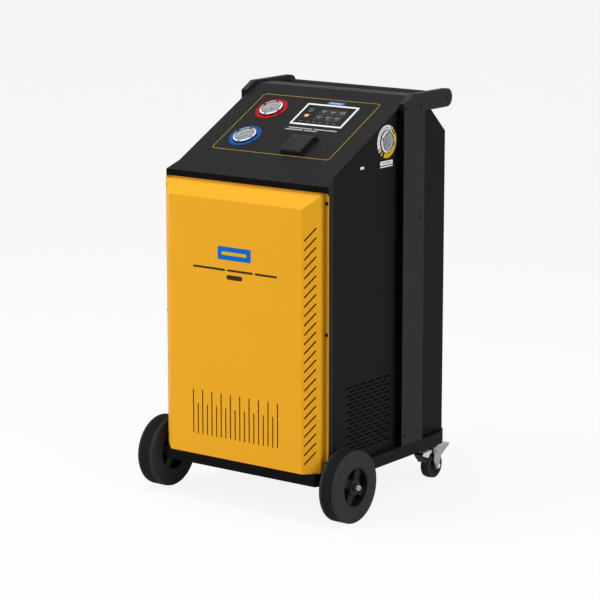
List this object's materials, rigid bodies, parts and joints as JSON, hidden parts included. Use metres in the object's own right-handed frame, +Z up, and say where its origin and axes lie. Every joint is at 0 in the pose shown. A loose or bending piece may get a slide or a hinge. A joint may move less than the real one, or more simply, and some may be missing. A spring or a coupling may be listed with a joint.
{
  "type": "refrigerant recovery machine",
  "caption": "Wheeled cabinet that recovers and charges refrigerant, with a sloped panel carrying gauges, a display and a printer, a slotted front cover, a push handle and braked casters.",
  "frame": {"origin": "on the floor, under the middle of the machine", "axes": "+Z up, the slotted front faces -Y, +X to the right seen from the front"},
  "size_m": [0.7066, 0.662, 1.1215],
  "materials": {
    "black_sheet": "satin powder coat",
    "dark_sheet": "satin powder coat",
    "yellow_cover": "fine-textured powder coat",
    "black_bar": "satin powder coat",
    "black_screws": "black oxide",
    "white_plastic": "moulded, smooth",
    "screen": "glossy panel",
    "black_plastic": "fine moulded grain",
    "paper": "thermal paper",
    "dial_white": "printed dial",
    "lens": "clear lens",
    "pointer_black": "painted",
    "ring_blue": "printed film",
    "ring_red": "printed film",
    "ring_yellow": "printed film",
    "zinc": "bright zinc plate",
    "tyre": "matt rubber",
    "caster_rubber": "matt rubber",
    "brass": "turned",
    "aluminium": "mill finish",
    "grey_steel": "galvanised",
    "compressor_black": "black enamel",
    "board_green": "solder mask"
  },
  "bodies": {
    "cabinet": {"base_tray": "black_sheet", "side_panel_left": "black_sheet", "side_panel_right": "black_sheet", "rear_cover": "black_sheet", "front_frame": "dark_sheet", "control_panel": "dark_sheet", "handle_post_left": "dark_sheet", "handle_post_right": "dark_sheet", "fan_guard": "dark_sheet", "front_cover": "yellow_cover", "handle_bar": "black_bar", "cover_screws": "black_screws", "panel_screws": "black_screws", "post_screws": "black_screws", "display_bezel": "white_plastic", "gauge_cases": "white_plastic", "display_screen": "screen", "printer_body": "black_plastic", "card_reader": "black_plastic", "mains_inlet": "black_plastic", "gauge_dials": "dial_white", "gauge_lenses": "lens", "low_ring": "ring_blue", "high_ring": "ring_red", "side_ring": "ring_yellow", "front_axle": "zinc", "axle_nuts": "zinc", "caster_stems": "zinc", "low_union": "brass", "high_union": "brass", "condenser": "aluminium", "vacuum_pump": "aluminium", "scale_platform": "aluminium", "filter_drier": "aluminium", "valve_manifold": "aluminium", "power_supply": "aluminium", "fan_motor": "grey_steel", "inner_shelf": "grey_steel", "storage_tank": "grey_steel", "compressor": "compressor_black", "control_board": "board_green"},
    "wheel_left": {"tyre_left": "tyre", "rim_left": "black_plastic"},
    "wheel_right": {"tyre_right": "tyre", "rim_right": "black_plastic"},
    "caster_left": {"fork_left": "zinc", "caster_axle_left": "zinc"},
    "caster_right": {"fork_right": "zinc", "caster_axle_right": "zinc"},
    "caster_roller_left": {"caster_wheel_left": "caster_rubber"},
    "caster_roller_right": {"caster_wheel_right": "caster_rubber"},
    "brake_left": {"pedal_left": "black_plastic"},
    "brake_right": {"pedal_right": "black_plastic"},
    "lid": {"printer_lid": "black_plastic"},
    "roll": {"paper_roll": "paper"},
    "low_hand": {"low_pointer": "pointer_black"},
    "high_hand": {"high_pointer": "pointer_black"},
    "side_hand": {"side_pointer": "pointer_black"},
    "switch": {"rocker": "black_plastic"},
    "fan": {"fan_blades": "black_plastic"}
  },
  "joints": [
    {"name": "wheel_left_spin", "type": "hinge", "parent": "cabinet", "child": "wheel_left", "pos_m": [-0.315, -0.231, 0.1], "axis": [1, 0, 0], "continuous": true},
    {"name": "wheel_right_spin", "type": "hinge", "parent": "cabinet", "child": "wheel_right", "pos_m": [0.315, -0.231, 0.1], "axis": [1, 0, 0], "continuous": true},
    {"name": "caster_left_swivel", "type": "hinge", "parent": "cabinet", "child": "caster_left", "pos_m": [-0.25, 0.293, 0.094], "axis": [0, 0, 1], "continuous": true},
    {"name": "caster_left_roll", "type": "hinge", "parent": "caster_left", "child": "caster_roller_left", "pos_m": [-0.25, 0.272, 0.0375], "axis": [1, 0, 0], "continuous": true},
    {"name": "brake_left_press", "type": "hinge", "parent": "caster_left", "child": "brake_left", "pos_m": [-0.25, 0.261, 0.084], "axis": [1, 0, 0], "range_deg": [0, 11]},
    {"name": "caster_right_swivel", "type": "hinge", "parent": "cabinet", "child": "caster_right", "pos_m": [0.25, 0.293, 0.094], "axis": [0, 0, 1], "continuous": true},
    {"name": "caster_right_roll", "type": "hinge", "parent": "caster_right", "child": "caster_roller_right", "pos_m": [0.25, 0.272, 0.0375], "axis": [1, 0, 0], "continuous": true},
    {"name": "brake_right_press", "type": "hinge", "parent": "caster_right", "child": "brake_right", "pos_m": [0.25, 0.261, 0.084], "axis": [1, 0, 0], "range_deg": [0, 11]},
    {"name": "printer_lid_lift", "type": "hinge", "parent": "cabinet", "child": "lid", "pos_m": [0.07, -0.09624, 1.01083], "axis": [-1, 0, 0], "range_deg": [0, 95]},
    {"name": "paper_roll_turn", "type": "hinge", "parent": "cabinet", "child": "roll", "pos_m": [0.07, -0.11101, 0.97154], "axis": [1, 0, 0], "continuous": true},
    {"name": "low_pointer_sweep", "type": "hinge", "parent": "cabinet", "child": "low_hand", "pos_m": [-0.13, -0.10227, 0.99844], "axis": [0, 0.454, -0.891], "range_deg": [0, 270], "stiffness_Nm_per_rad": 0.005},
    {"name": "high_pointer_sweep", "type": "hinge", "parent": "cabinet", "child": "high_hand", "pos_m": [-0.13, 0.0189, 1.06018], "axis": [0, 0.454, -0.891], "range_deg": [0, 270], "stiffness_Nm_per_rad": 0.005},
    {"name": "side_pointer_sweep", "type": "hinge", "parent": "cabinet", "child": "side_hand", "pos_m": [0.2625, 0.01699, 1.00201], "axis": [-1, 0, 0], "range_deg": [0, 270], "stiffness_Nm_per_rad": 0.005},
    {"name": "power_switch_tip", "type": "hinge", "parent": "cabinet", "child": "switch", "pos_m": [0.15, 0.304, 0.266], "axis": [-1, 0, 0], "range_deg": [0, 16]},
    {"name": "fan_turn", "type": "hinge", "parent": "cabinet", "child": "fan", "pos_m": [0, 0.283, 0.73], "axis": [0, 1, 0], "continuous": true}
  ]
}
